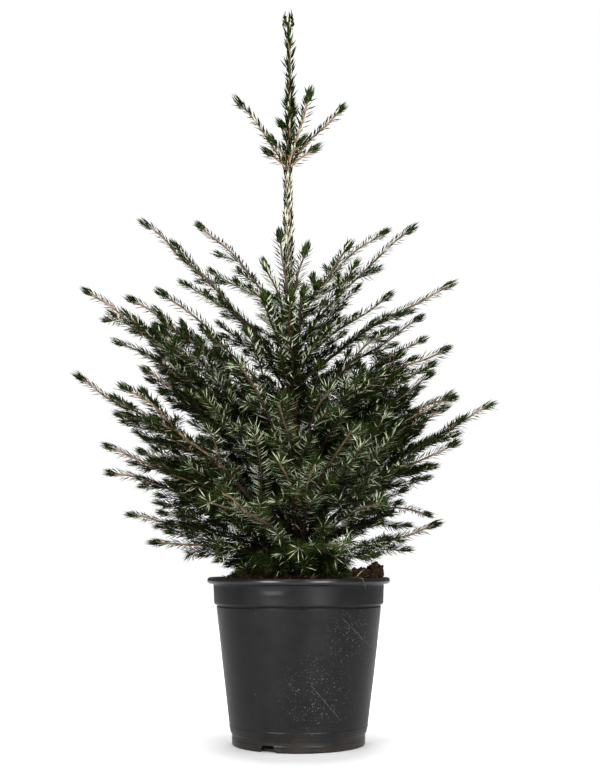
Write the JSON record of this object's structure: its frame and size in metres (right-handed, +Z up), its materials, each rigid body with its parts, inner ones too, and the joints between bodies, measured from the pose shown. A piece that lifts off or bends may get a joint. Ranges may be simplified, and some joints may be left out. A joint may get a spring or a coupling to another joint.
{
  "type": "potted serbian spruce",
  "caption": "Young slender spruce with whorled feathery branches and a long bare leader, growing in a round tapered nursery pot filled with soil.",
  "frame": {"origin": "middle of the pot's flat underside, on the surface that the pot stands on", "axes": "+Z up along the trunk, +X to the right as seen in the picture, -Y towards the viewer"},
  "size_m": [0.5688, 0.4708, 1.003],
  "materials": {
    "pot": "charcoal moulded plastic with dust and scuffs",
    "soil": "dark crumbly peat with bits of wood",
    "bark": "rough brown bark",
    "needles": "dark green needles with silvery undersides"
  },
  "bodies": {
    "root": {"pot": "pot", "soil": "soil", "trunk": "bark", "leader_shoot": "needles", "limb_spread_left": "bark", "limb_low_left": "bark", "limb_low_front_left": "bark", "limb_low_right": "bark", "limb_low_back_right": "bark", "limb_low_back": "bark", "limb_mid_right": "bark", "limb_mid_back_left": "bark", "limb_mid_back": "bark", "limb_mid_left": "bark", "limb_upper_right": "bark", "limb_upper_left": "bark", "foliage_skirt_left": "needles", "foliage_skirt_back_left": "needles", "foliage_skirt_back": "needles", "foliage_skirt_back_right": "needles", "foliage_skirt_right": "needles", "foliage_skirt_front_right": "needles", "foliage_skirt_front_left": "needles", "foliage_spread_left": "needles", "foliage_low_left": "needles", "foliage_low_front_left": "needles", "foliage_low_right": "needles", "foliage_low_front": "needles", "foliage_low_back_right": "needles", "foliage_low_back": "needles", "foliage_mid_front_right": "needles", "foliage_mid_right": "needles", "foliage_mid_back_left": "needles", "foliage_mid_front": "needles", "foliage_mid_back": "needles", "foliage_mid_back_right": "needles", "foliage_mid_left": "needles", "foliage_mid_front_left": "needles", "foliage_mid_front_tall": "needles", "foliage_side_right": "needles", "foliage_side_back_right": "needles", "foliage_upper_front_left": "needles", "foliage_upper_front": "needles", "foliage_upper_back": "needles", "foliage_upper_back_left": "needles", "foliage_upper_right": "needles", "foliage_upper_left": "needles", "foliage_upper_front_right": "needles", "foliage_crown_right": "needles", "foliage_crown_front_right": "needles", "foliage_crown_back": "needles", "foliage_crown_left": "needles", "foliage_crown_back_right": "needles", "foliage_crown_front": "needles", "foliage_whorl_low": "needles", "foliage_whorl_left": "needles", "foliage_whorl_back": "needles", "foliage_whorl_front": "needles", "foliage_whorl_right": "needles"}
  },
  "joints": []
}
